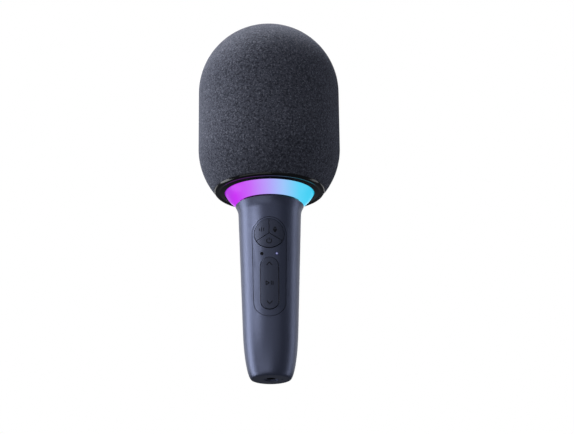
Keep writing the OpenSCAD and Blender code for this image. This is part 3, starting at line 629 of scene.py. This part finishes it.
def stitches(across, down):
    """The height of a plain knit from 0 to 1, with both places counted in stitches."""
    in_wale = (across.math("FRACT") * 2 - 1).math("ABSOLUTE")
    leg = (across * 2).math("FRACT") * 2 - 1
    hump = 1 - leg * leg
    slant = ((down + in_wale * 0.55) * math.tau).math("SINE") * 0.5 + 0.5
    return hump * (slant * 0.55 + 0.45)


def heather_knit(name):
    recipe = Recipe(name)
    place = recipe.place()
    cloth = recipe.add("ShaderNodeUVMap", {"uv_map": "cloth"})
    side = stitches(recipe.part(cloth, "X") / WALE, recipe.part(cloth, "Y") / COURSE)
    crown = stitches(recipe.part(place, "X") / WALE, recipe.part(place, "Y") / COURSE)
    on_crown = recipe.step(recipe.part(place, "Z"), CROWN_START, CROWN_END)
    knit = side * (1 - on_crown) + crown * on_crown
    fuzz = recipe.noise(place, 0.3 * MM, detail=3.0, roughness=0.7)
    pale_fibre = recipe.step(recipe.noise(place, 0.8 * MM, detail=3.0, roughness=0.65), 0.5, 0.66)
    dark_fibre = recipe.step(recipe.noise(place, 1.3 * MM, roughness=0.6), 0.48, 0.62)
    worn = recipe.noise(place, 22 * MM)
    yarn = recipe.mix(worn, tint(72, 75, 88), tint(84, 87, 101))
    flecked = recipe.mix(pale_fibre * 0.85, yarn, tint(142, 146, 162))
    darker = recipe.mix(dark_fibre * 0.75, flecked, tint(30, 32, 44))
    # The hollows between stitches are darkened in the colour: painted shade, deepest where the knit
    # is lowest.
    painted_stitch_shade = recipe.mix(knit * 0.45 + 0.55, tint(26, 27, 34), darker)
    return recipe.surface(
        Base_Color=painted_stitch_shade,
        Roughness=fuzz * 0.1 + 0.86,
        Normal=recipe.bump(knit + fuzz * 0.5, 0.22 * MM, 0.8),
        Sheen_Weight=0.35,
        Sheen_Roughness=0.45,
        Sheen_Tint=tint(176, 182, 204),
        Specular_IOR_Level=0.2)


finishes["fabric"] = heather_knit("fabric")
sleeve_sheet, sleeve_shape = sleeve_tree()
sleeve = sleeve_sheet.make(sleeve_shape)
thickness = sleeve.modifiers.new("cloth thickness", "SOLIDIFY")
thickness.thickness, thickness.offset, thickness.use_rim = KNIT_T, -1.0, True
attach(sleeve, "microphone")
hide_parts("fabric_sleeve")
print("sleeve top", round(max(v.co.z for v in sleeve.data.vertices) / MM, 2), "mm")

# %% [markdown]
# ## The foam dome under the crown
#
# Under the top of the cage sits a shell of open-cell foam that stops breath noise at the capsule.
# Foam is cut, not moulded, so its faces are pitted by open cells. A closed shell is turned as a
# mesh, and a fine ripple of pits is pressed into it with a product of sines, which needs no random
# numbers. The shell rounds over at its cut edge, as soft foam does.

# %% Foam dome
foam_lo, foam_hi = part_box("foam_liner")
FOAM_OUT = foam_hi.z - DOME_Z
FOAM_T = 5.0 * MM
FOAM_EDGE = 1.2 * MM
FOAM_ROUND = 144
FOAM_STEPS, EDGE_STEPS = 30, 6         # rows along each face, and round the cut edge
FOAM_GAP, FOAM_LIFT = 0.15 * MM, 0.3 * MM
PIT_DEPTH = 0.12 * MM


def foam_profile():
    """Points (radius, height) from the crown's outside, round the cut edge, to its inside."""
    low = max(foam_lo.z - DOME_Z, 0.0) + FOAM_LIFT
    outer, inner = FOAM_OUT - FOAM_GAP, FOAM_OUT - FOAM_T + FOAM_GAP
    down, up = range(0, FOAM_STEPS + 1), range(FOAM_STEPS, -1, -1)
    points = []
    for radius, steps in ((outer, down), (inner, up)):
        end = math.acos((low + FOAM_EDGE) / radius)
        curve = [(radius * math.sin(end * i / FOAM_STEPS), radius * math.cos(end * i / FOAM_STEPS))
                 for i in steps]
        if points:
            (r0, _), (r1, _) = points[-1], curve[0]
            middle, half = (r0 + r1) / 2, (r0 - r1) / 2
            points += [(middle + half * math.cos(a), low + FOAM_EDGE - FOAM_EDGE * math.sin(a))
                       for a in (math.pi * k / EDGE_STEPS for k in range(1, EDGE_STEPS))]
        points += curve
    return points


def foam_shell():
    profile = foam_profile()
    vertices, faces = [], []
    count = len(profile)
    for radius, height in profile[1:-1]:
        for i in range(FOAM_ROUND):
            turn = math.tau * i / FOAM_ROUND
            vertices.append((radius * math.cos(turn), radius * math.sin(turn), DOME_Z + height))
    crown_out, crown_in = len(vertices), len(vertices) + 1
    vertices += [(0, 0, DOME_Z + profile[0][1]), (0, 0, DOME_Z + profile[-1][1])]
    for row in range(count - 3):
        a, b = row * FOAM_ROUND, (row + 1) * FOAM_ROUND
        faces += [(a + i, b + i, b + (i + 1) % FOAM_ROUND, a + (i + 1) % FOAM_ROUND)
                  for i in range(FOAM_ROUND)]
    last = (count - 3) * FOAM_ROUND
    for i in range(FOAM_ROUND):
        j = (i + 1) % FOAM_ROUND
        faces += [(crown_out, i, j), (crown_in, last + j, last + i)]
    mesh = bpy.data.meshes.new("foam_dome")
    mesh.from_pydata(vertices, [], faces)
    for v in mesh.vertices:
        x, y, z = (c / MM for c in v.co)
        pit = (math.sin(1.9 * x + 0.7 * z) * math.sin(2.1 * y - 0.5 * x)
               * math.sin(1.7 * z + 0.9 * y))
        v.co += v.normal * (pit * PIT_DEPTH)
    mesh.shade_smooth()
    return mesh


def open_cell_foam(name):
    recipe = Recipe(name)
    place = recipe.place()
    cells = recipe.add("ShaderNodeTexVoronoi", {},
                       {"Vector": place, "Scale": 1 / (0.9 * MM)}, out="Distance")
    # 0 deep in a cell and 1 on its walls: it darkens the pores as painted shade and makes the walls
    #                                      a little rougher.
    walls_and_pore_shade = recipe.step(cells, 0.25, 0.7)
    return recipe.surface(
        Base_Color=recipe.mix(walls_and_pore_shade, tint(18, 18, 20), tint(62, 62, 66)),
        Roughness=walls_and_pore_shade * 0.08 + 0.88,
        Normal=recipe.bump(cells, 0.3 * MM, 0.9),
        Sheen_Weight=0.15)


finishes["foam"] = open_cell_foam("foam")
foam_mesh = foam_shell()
foam = bpy.data.objects.new("foam_dome", foam_mesh)
foam_mesh.materials.append(finishes["foam"])
bpy.context.scene.collection.objects.link(foam)
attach(foam, "microphone")
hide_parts("foam_liner")
print("foam faces", len(foam_mesh.polygons), "radius", round(FOAM_OUT / MM, 2))

# %% [markdown]
# ## Softened edges and smooth turnings
#
# The panel and the keys are machined or moulded with edges broken by about a quarter of a
# millimetre, and those edges draw the thin dark and light lines round each key. A solid's own
# mesh is never changed, so each of these pieces gets a copy: doubles are merged, flat areas
# become single faces, and a Bevel modifier rounds what is sharper than 40 degrees. The copy
# replaces the solid and moves with the same body. The turned shells are copied too, with no
# bevel. Their profiles are many short cones, and a highlight would show each cone as a step, so
# they are shaded as one smooth curve with only the real corners kept sharp.

# %% Soft edges
EDGE_ANGLE = math.radians(40)
FLAT_ANGLE = math.radians(0.5)
DOUBLES_GAP = 0.002 * MM
BROKEN_EDGE, EDGE_SEGMENTS = 0.25 * MM, 3
SOFTENED = {"control_panel": "microphone", "mode_button": "mode_key",
            "effects_button": "effects_key", "power_button": "power_key",
            "rocker_key": "rocker"}
TURNED = ("handle_shell", "end_cap", "bezel_ring", "light_diffuser")


def soften(node, body, width=0.0):
    """A copy of a solid with rounded edges, or with only smooth shading when the width is 0."""
    source = bmesh.new()
    source.from_mesh(frame["nodes"][node].data)
    bmesh.ops.remove_doubles(source, verts=source.verts, dist=DOUBLES_GAP)
    if width:
        bmesh.ops.dissolve_limit(source, angle_limit=FLAT_ANGLE, verts=source.verts,
                                 edges=source.edges)
    source.verts.index_update()
    mesh = bpy.data.meshes.new(node + "_soft")
    mesh.from_pydata([v.co[:] for v in source.verts], [],
                     [[v.index for v in face.verts] for face in source.faces])
    source.free()
    mesh.materials.append(finishes[slot_of[node]])
    mesh.shade_smooth()
    piece = bpy.data.objects.new(node + "_soft", mesh)
    bpy.context.scene.collection.objects.link(piece)
    if width:
        rounding = piece.modifiers.new("broken edges", "BEVEL")
        rounding.width, rounding.segments = width, EDGE_SEGMENTS
        rounding.limit_method, rounding.angle_limit = "ANGLE", EDGE_ANGLE
        rounding.harden_normals = True
    else:
        mesh.set_sharp_from_angle(angle=EDGE_ANGLE)
    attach(piece, body)
    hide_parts(node)
    return piece


copies = [soften(node, body, BROKEN_EDGE) for node, body in SOFTENED.items()]
copies += [soften(node, "microphone") for node in TURNED]
for copy in copies:
    print(copy.name, len(copy.data.polygons), "faces before rounding")

# %% [markdown]
# ## Symbols on the keys
#
# The symbols are printed in a dark ink that stands a hair proud of the metal. Each is a few
# strokes, drawn here as points in millimetres across and up the key's face. The points are
# dropped onto the key's curved face by a ray, and Geometry Nodes sweeps a fine round line along
# every stroke. Each key gets its own piece, so its symbol moves with it. The left key has three
# level bars, the right one a small microphone, the lower one the usual power sign, and the
# rocker has up, play or pause, and down.

# %% Symbols
LINE_R, SUNK = 0.32 * MM, 0.2 * MM
STROKE_STEP = 0.5                      # in mm, so that a stroke bends with the face
RAY_START_Y = -0.05


def arc(cx, cy, radius, start, end, count):
    """Points on an arc, in degrees."""
    turns = [math.radians(start + (end - start) * i / count) for i in range(count + 1)]
    return [(cx + radius * math.cos(a), cy + radius * math.sin(a)) for a in turns]


def ring(*points):
    """A closed stroke."""
    return [*points, points[0]]


LEVEL_BARS = [[(x, -h), (x, h)] for x, h in ((-1.15, 0.7), (0.0, 1.3), (1.15, 0.95))]
SMALL_MICROPHONE = [
    ring(*arc(0, 0.75, 0.55, 0, 180, 8), *arc(0, 0.05, 0.55, 180, 360, 8)),
    arc(0, 0.05, 1.1, 180, 360, 12), [(0, -1.05), (0, -1.6)], [(-0.6, -1.6), (0.6, -1.6)]]
POWER = [arc(0, 0, 1.35, 125, 415, 22), [(0, 0.45), (0, 1.75)]]
UP = [[(-1.6, -1.0), (0, 0.85), (1.6, -1.0)]]
DOWN = [[(x, -y) for x, y in UP[0]]]
PLAY_PAUSE = [ring((-2.0, 1.2), (-2.0, -1.2), (-0.1, 0)), [(1.0, 1.15), (1.0, -1.15)],
              [(2.0, 1.15), (2.0, -1.15)]]


def on_face(node, strokes):
    """Drops strokes, lists of (x, z) in mm, onto the front of a key as a mesh of edges."""
    key = frame["nodes"][node].data
    tree = BVHTree.FromPolygons([v.co for v in key.vertices], [f.vertices for f in key.polygons])
    vertices, edges = [], []
    for stroke in strokes:
        for (x0, z0), (x1, z1) in zip(stroke, stroke[1:]):
            pieces = max(1, round(math.dist((x0, z0), (x1, z1)) / STROKE_STEP))
            if not edges or vertices[-1] != (x0, z0) or stroke[0] == (x0, z0):
                vertices.append((x0, z0))
            for i in range(1, pieces + 1):
                vertices.append((x0 + (x1 - x0) * i / pieces, z0 + (z1 - z0) * i / pieces))
                edges.append((len(vertices) - 2, len(vertices) - 1))
    placed = []
    for x, z in vertices:
        hit = tree.ray_cast(Vector((x * MM, RAY_START_Y, z * MM)), Vector((0, 1, 0)))[0]
        placed.append(hit + Vector((0, SUNK, 0)))
    mesh = bpy.data.meshes.new(node + "_strokes")
    mesh.from_pydata(placed, edges, [])
    return mesh


def ink_tree(name):
    """Sweeps a round line along the strokes that the tree starts from."""
    tree = Workshop(name, line_radius=LINE_R, sides=8, finish=finishes["jack_black"])
    path = tree.add("GeometryNodeMeshToCurve", {}, {"Mesh": tree.start})
    nib = tree.add("GeometryNodeCurvePrimitiveCircle", {"mode": "RADIUS"},
                   {"Resolution": tree.sides, "Radius": tree.line_radius}, out="Curve")
    line = tree.add("GeometryNodeCurveToMesh", {},
                    {"Curve": path, "Profile Curve": nib, "Fill Caps": True})
    return tree, tree.add("GeometryNodeSetShadeSmooth", {}, {"Geometry": line})


def shifted(strokes, x, z, scale=1.0):
    return [[(x + px * scale, z + pz * scale) for px, pz in stroke] for stroke in strokes]


KEY_SYMBOLS = (
    ("mode_symbol", "mode_button", "mode_key", shifted(LEVEL_BARS, -4.3, 85.3)),
    ("effects_symbol", "effects_button", "effects_key", shifted(SMALL_MICROPHONE, 3.4, 85.3, 0.95)),
    ("power_symbol", "power_button", "power_key", shifted(POWER, 0, 78.3, 1.05)),
    ("rocker_symbols", "rocker_key", "rocker",
     shifted(UP, 0, 64.6) + shifted(PLAY_PAUSE, 0, 53.0) + shifted(DOWN, 0, 41.4)),
)
for name, node, body, strokes in KEY_SYMBOLS:
    ink, line = ink_tree(name)
    symbol = ink.make(line, on_face(node, strokes))
    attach(symbol, body)

# %% [markdown]
# ## The studio
#
# A satin cylinder shows the lamps more than it shows itself. The bright band down the left of the
# handle is a tall softbox beside and a little behind it, and the fainter one at the right is a
# narrow strip further back. A large soft lamp from the upper left models the cloth, and one above
# lifts the crown. Two lamps behind, left and right, give the bezel its pale edges, and a strip of
# backdrop that the camera doesn't see brightens its far lip. The room is white behind and dim grey
# for everything else, so the middle of the handle stays dark. The floor glows like a light table
# and takes no part in reflections or bounced light.

# %% Studio
FLOOR_Z, FLOOR_HALF, FLOOR_GLOW = -1.3, 4.0, 0.92
ROOM_GREY, ROOM_WHITE = (0.085, 0.089, 0.1, 1.0), (1.0, 1.0, 1.0, 1.0)
COOL, NEUTRAL = (0.95, 0.97, 1.0), (1.0, 1.0, 1.0)

floor_mesh = bpy.data.meshes.new("floor")
corners = ((-1, -1), (1, -1), (1, 1), (-1, 1))
floor_mesh.from_pydata([(x * FLOOR_HALF, y * FLOOR_HALF, FLOOR_Z) for x, y in corners],
                       [], [(0, 1, 2, 3)])
floor_recipe = Recipe("floor_paper")
floor_cloud = floor_recipe.noise(floor_recipe.place(), 0.5)
floor_mesh.materials.append(floor_recipe.surface(
    Base_Color=floor_recipe.mix(floor_cloud, tint(232, 232, 232), tint(240, 240, 240)),
    Roughness=floor_cloud * 0.05 + 0.85,
    Emission_Color=tint(255, 255, 255),
    Emission_Strength=FLOOR_GLOW))
floor_mesh.materials[0].cycles.emission_sampling = "NONE"
floor = bpy.data.objects.new("floor", floor_mesh)
bpy.context.scene.collection.objects.link(floor)
floor.visible_glossy = floor.visible_diffuse = False


def softbox(name, at, aim, width, height, power, colour):
    """A rectangular soft lamp that faces aim."""
    lamp = bpy.data.lights.new(name, "AREA")
    lamp.shape, lamp.size, lamp.size_y = "RECTANGLE", width, height
    lamp.energy, lamp.color = power, colour
    box = bpy.data.objects.new(name, lamp)
    box.location = at
    box.rotation_euler = (Vector(aim) - Vector(at)).to_track_quat("-Z", "Y").to_euler()
    bpy.context.scene.collection.objects.link(box)
    return box


def round_handle(angle, distance, height):
    """A place seen from the handle: angle from the front, positive to the right."""
    turn = math.radians(angle)
    return (distance * math.sin(turn), -distance * math.cos(turn), height)


HANDLE_MIDDLE, HEAD_MIDDLE = (0, 0, 0.06), (0, 0, 0.16)
LAMPS = (
    ("left_wall", round_handle(-101, 1.0, 0.25), HANDLE_MIDDLE, 0.5, 2.2, 11.0, COOL),
    ("right_strip", round_handle(107, 1.1, 0.25), HANDLE_MIDDLE, 0.42, 2.0, 3.3, COOL),
    ("front_card", round_handle(14, 1.5, 0.5), HANDLE_MIDDLE, 1.5, 1.8, 1.5, NEUTRAL),
    ("low_card", round_handle(-30, 1.2, -0.42), HEAD_MIDDLE, 1.6, 0.9, 3.0, NEUTRAL),
    ("cloth_key", round_handle(-58, 1.5, 1.05), HEAD_MIDDLE, 0.9, 0.9, 17.0, NEUTRAL),
    ("crown_lamp", (-0.3, 0.35, 1.3), HEAD_MIDDLE, 0.8, 0.6, 20.0, NEUTRAL),
    ("back_left", (-0.72, 1.0, 0.5), HEAD_MIDDLE, 0.7, 0.9, 1.3, NEUTRAL),
    ("back_right", (0.72, 1.0, 0.5), HEAD_MIDDLE, 0.7, 0.9, 1.1, NEUTRAL),
    ("backdrop", (0, 1.3, 0.34), HEAD_MIDDLE, 0.7, 0.44, 1.7, NEUTRAL),
)
lamps = {row[0]: softbox(*row) for row in LAMPS}
lamps["backdrop"].visible_camera = False

room = bpy.data.worlds.new("room")
room.use_nodes = True
bpy.context.scene.world = room
room_sheet = NodeSheet(room.node_tree)
room.node_tree.nodes.clear()
seen_directly = room_sheet.add("ShaderNodeLightPath", out="Is Camera Ray")
dim = room_sheet.add("ShaderNodeBackground", {}, {"Color": ROOM_GREY})
white = room_sheet.add("ShaderNodeBackground", {}, {"Color": ROOM_WHITE})
room_mix = room_sheet.add("ShaderNodeMixShader", {}, {0: seen_directly, 1: dim, 2: white})
room_sheet.add("ShaderNodeOutputWorld", {}, {"Surface": room_mix})
